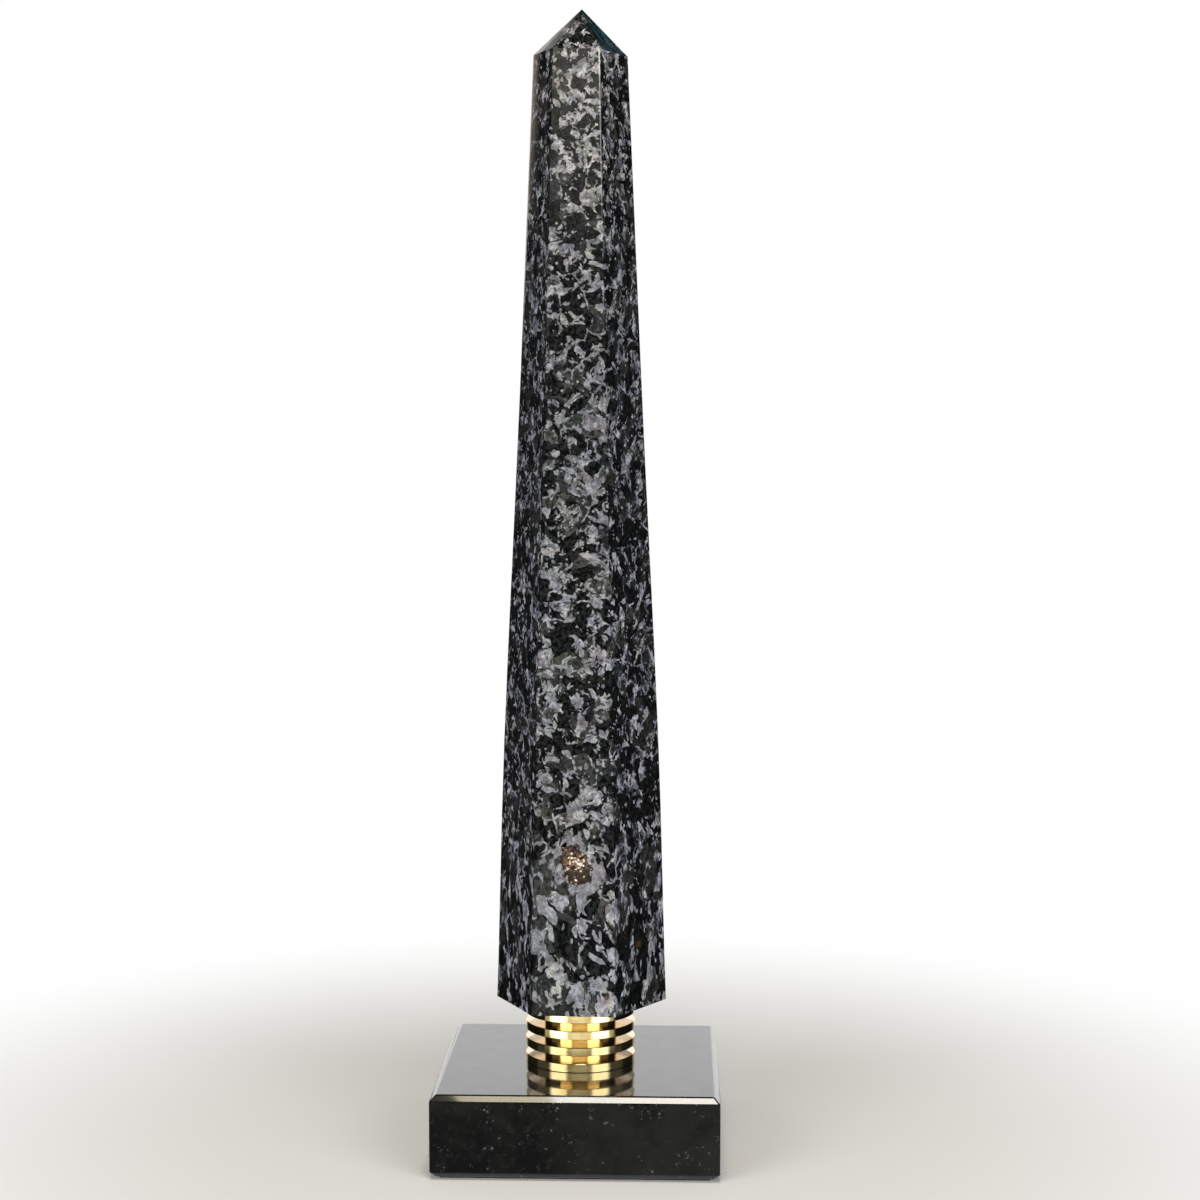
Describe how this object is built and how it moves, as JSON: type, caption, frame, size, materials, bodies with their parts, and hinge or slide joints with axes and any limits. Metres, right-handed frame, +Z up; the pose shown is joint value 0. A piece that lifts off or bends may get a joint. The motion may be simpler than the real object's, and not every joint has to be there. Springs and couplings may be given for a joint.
{
  "type": "desk obelisk ornament",
  "caption": "Tall six-sided polished stone point on a stack of brass discs and a square black marble plinth; a desk or shelf ornament.",
  "frame": {"origin": "centre of the underside, on the surface that the ornament stands on", "axes": "+Z up along the shaft, X and Y square to the plinth's sides, -Y towards the plinth side that faces the viewer"},
  "size_m": [0.1, 0.1, 0.4062],
  "materials": {
    "speckled_stone": "polished dark gabbro with pale grey and lilac-grey feldspar speckles",
    "black_marble": "polished black marble with fine pale specks",
    "polished_brass": "turned and polished",
    "zinc_steel": "zinc plated",
    "black_felt": "pressed wool felt"
  },
  "bodies": {
    "root": {"stone_obelisk": "speckled_stone", "plinth": "black_marble", "brass_disc_1": "polished_brass", "brass_disc_2": "polished_brass", "brass_disc_3": "polished_brass", "brass_disc_4": "polished_brass", "brass_spacer_1": "polished_brass", "brass_spacer_2": "polished_brass", "brass_spacer_3": "polished_brass", "stone_shim": "polished_brass", "tie_rod": "zinc_steel", "fixing_washer": "zinc_steel", "fixing_nut": "zinc_steel", "felt_base": "black_felt"}
  },
  "joints": []
}
